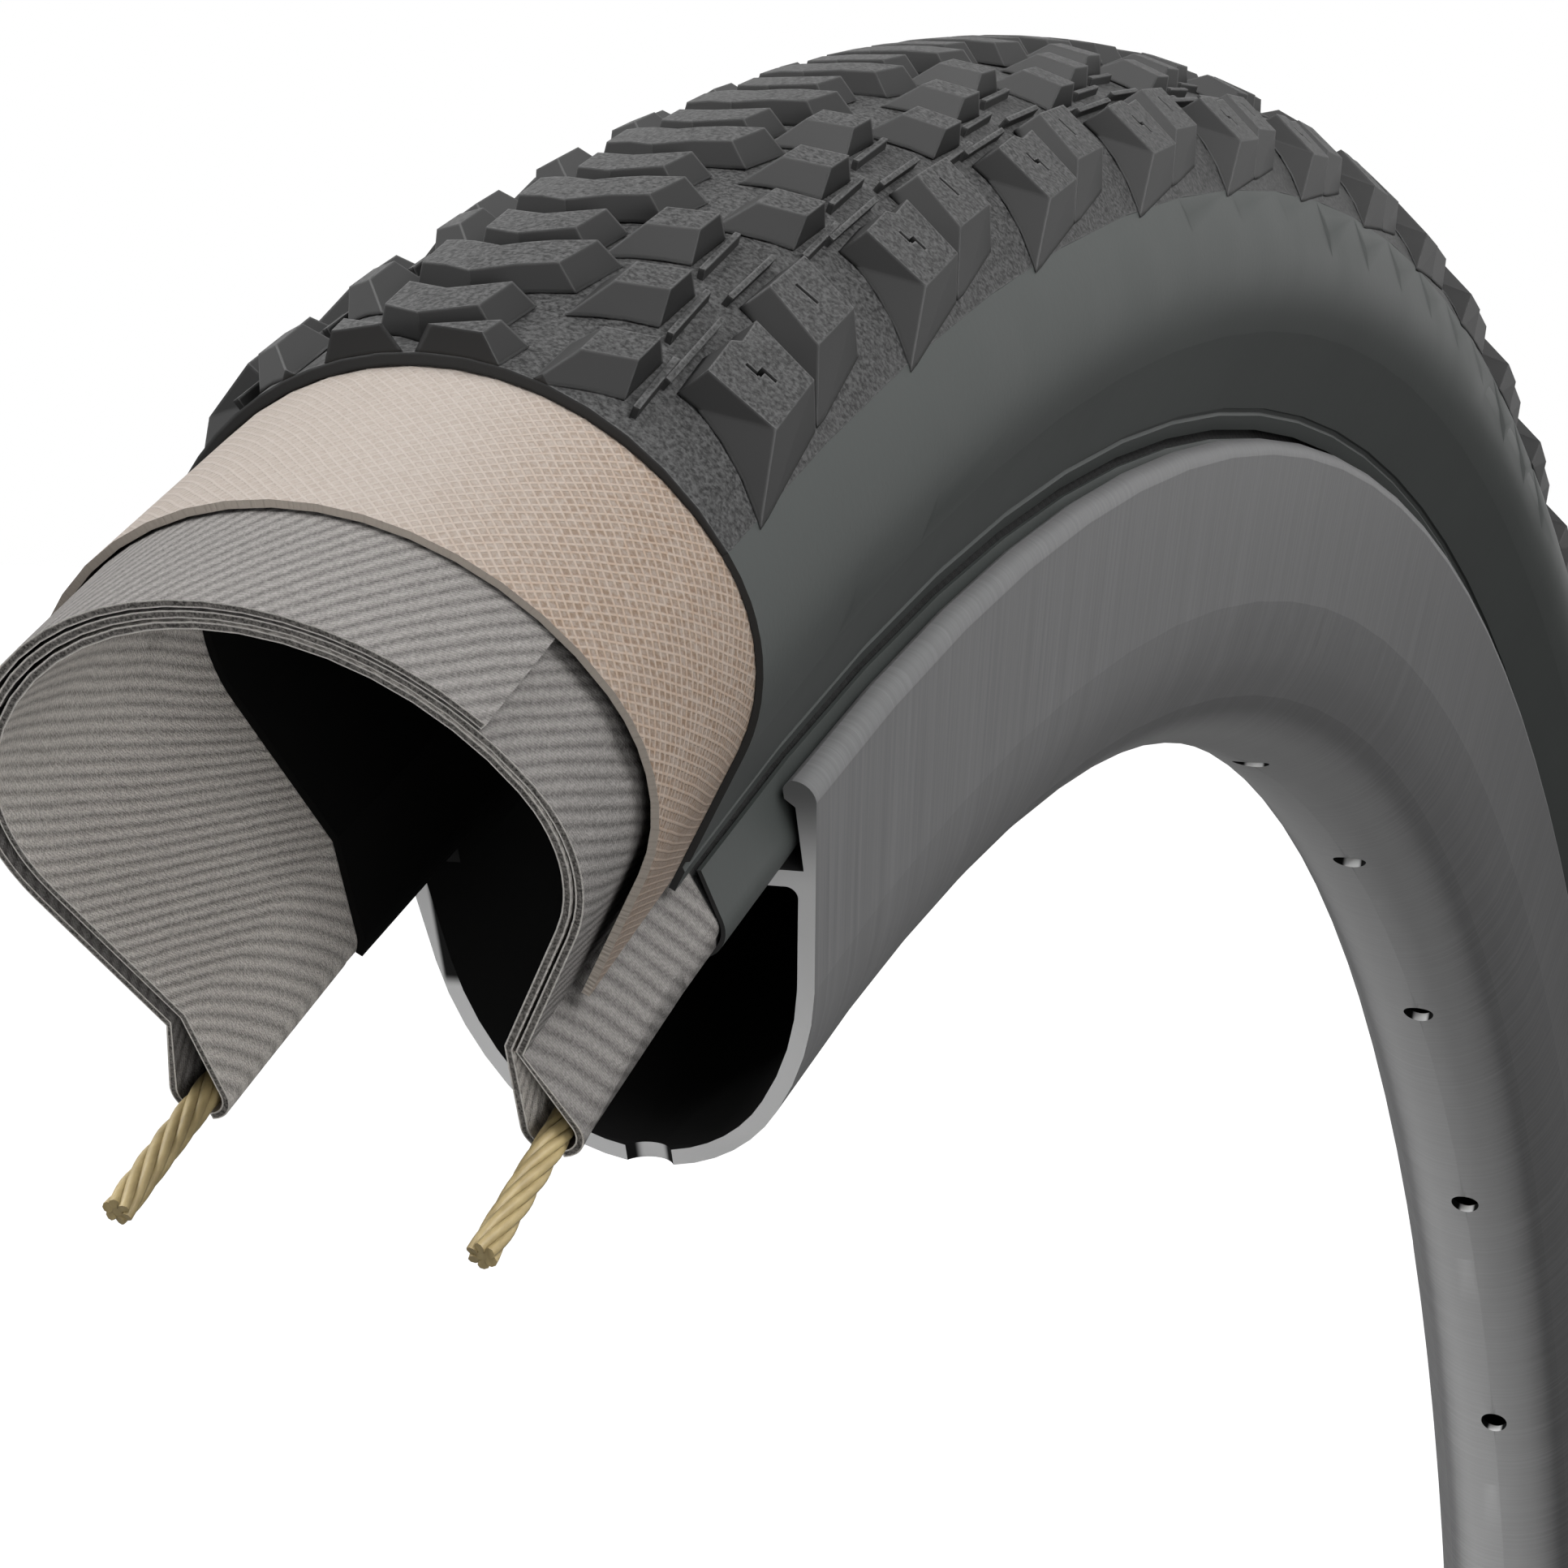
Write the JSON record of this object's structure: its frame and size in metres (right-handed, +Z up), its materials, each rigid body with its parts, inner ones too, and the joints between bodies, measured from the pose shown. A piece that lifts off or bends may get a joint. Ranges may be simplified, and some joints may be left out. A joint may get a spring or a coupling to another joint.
{
  "type": "bicycle tire",
  "caption": "Cutaway knobbly bicycle tire on a deep hooked rim; at one cut end the rubber, breaker, folded casing plies and bead cores are stepped back to show each layer.",
  "frame": {"origin": "wheel centre, on the wheel's axis and its middle plane", "axes": "+Y along the wheel's axis, towards the side that the cut end shows on the left; +Z up; +X level in the wheel's plane, so the cut end is above and on the -X side"},
  "size_m": [0.7056, 0.04, 0.7056],
  "materials": {
    "rim_metal": "satin",
    "tread_rubber": "matte",
    "side_rubber": "satin",
    "liner_rubber": "matte",
    "breaker_fabric": "matte",
    "ply_fabric": "matte",
    "bead_cord": "satin"
  },
  "bodies": {
    "root": {"rim": "rim_metal", "tread_base": "tread_rubber", "sidewall_left": "side_rubber", "sidewall_right": "side_rubber", "breaker": "breaker_fabric", "turnup_left": "ply_fabric", "turnup_right": "ply_fabric", "casing_ply": "ply_fabric", "inner_liner": "liner_rubber", "bead_core_left": "bead_cord", "bead_core_right": "bead_cord", "chafer_left": "side_rubber", "chafer_right": "side_rubber", "centre_knobs_large": "tread_rubber", "centre_knobs_small": "tread_rubber", "transition_knobs_left": "tread_rubber", "transition_knobs_right": "tread_rubber", "shoulder_knobs_big_left": "tread_rubber", "shoulder_knobs_big_right": "tread_rubber", "shoulder_knobs_small_left": "tread_rubber", "shoulder_knobs_small_right": "tread_rubber"}
  },
  "joints": []
}
